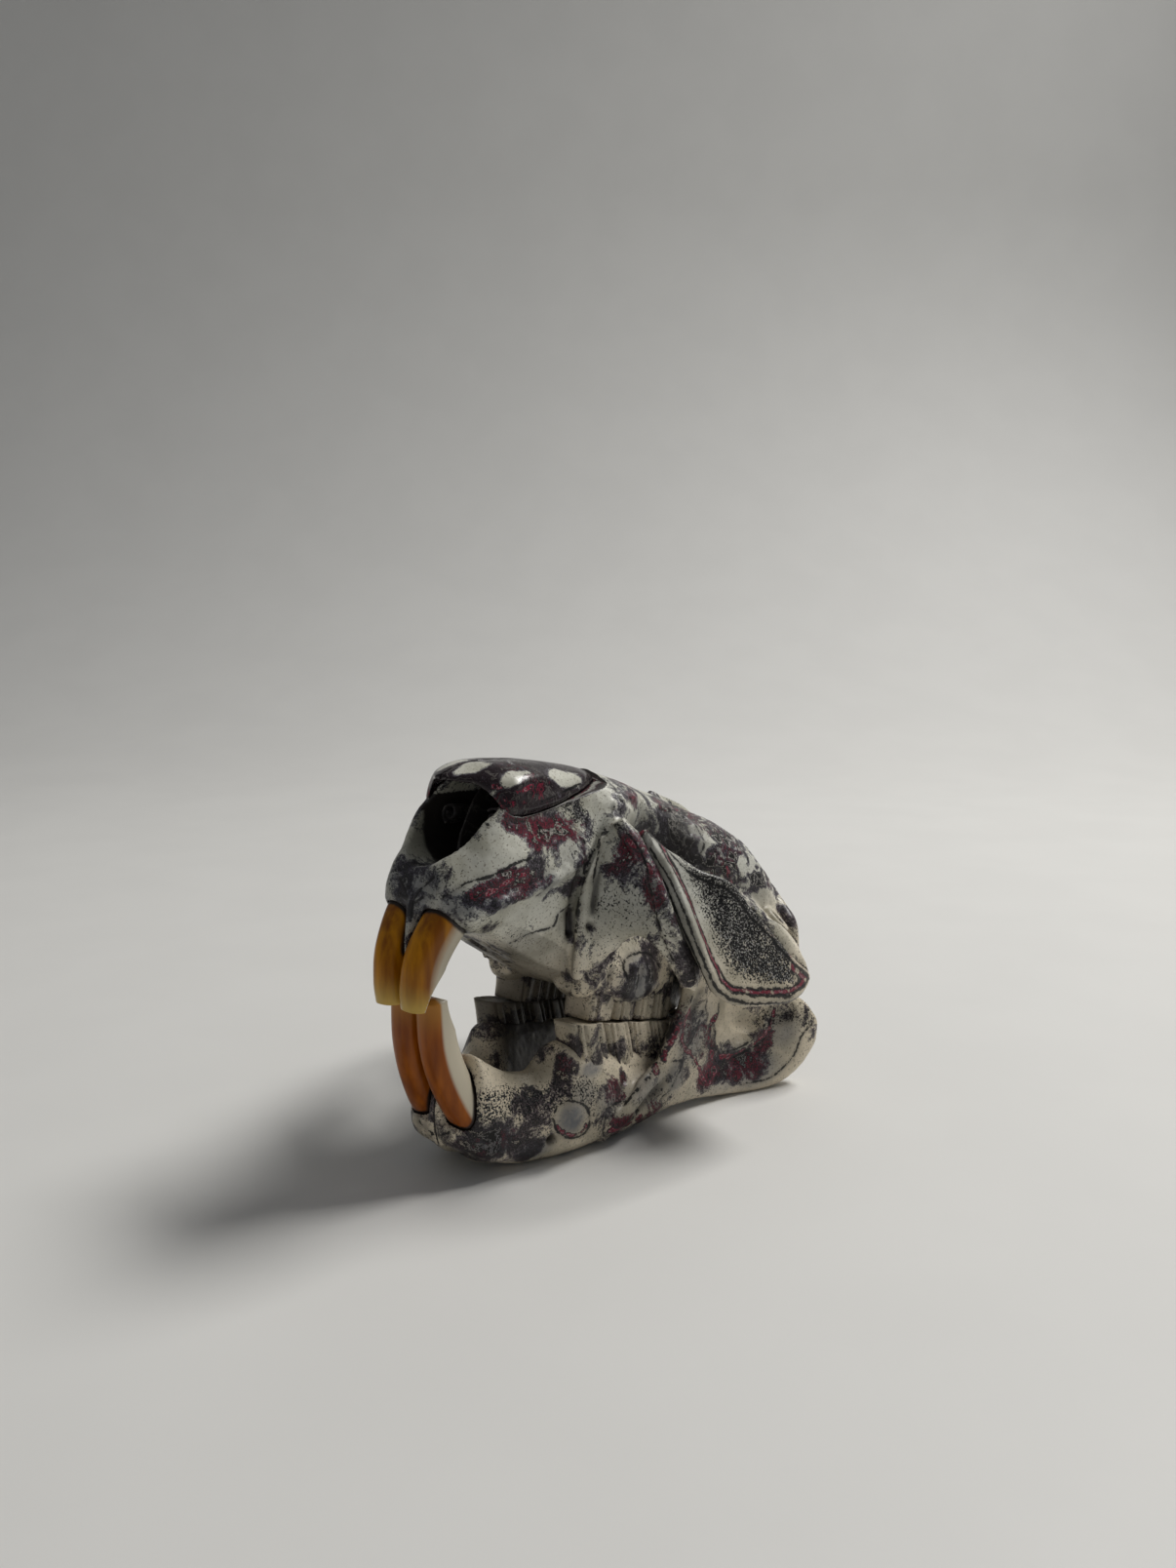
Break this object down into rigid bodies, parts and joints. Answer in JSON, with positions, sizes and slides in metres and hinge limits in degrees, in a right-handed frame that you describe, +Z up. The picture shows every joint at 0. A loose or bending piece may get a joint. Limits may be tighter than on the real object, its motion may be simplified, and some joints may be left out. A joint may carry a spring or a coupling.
{
  "type": "beaver skull",
  "caption": "Life-size beaver skull with its jaws closed: high nose, wide cheek arches, deep jaw and long orange front teeth, resting on the underside of the jaw.",
  "frame": {"origin": "on the surface the skull rests on, under the middle of its box", "axes": "+Z up, the skull faces -Y, +X is the animal's left"},
  "size_m": [0.0972, 0.1246, 0.0931],
  "materials": {
    "bone": "satin, mottled cream and charcoal",
    "enamel_upper": "glossy amber enamel",
    "enamel_lower": "glossy orange enamel"
  },
  "bodies": {
    "root": {"cranium": "bone", "nasal_left": "bone", "nasal_right": "bone", "jugal_left": "bone", "jugal_right": "bone", "upper_incisor_left": "enamel_upper", "upper_incisor_right": "enamel_upper", "lower_incisor_left": "enamel_lower", "lower_incisor_right": "enamel_lower", "mandible_left": "bone", "mandible_right": "bone"}
  },
  "joints": []
}
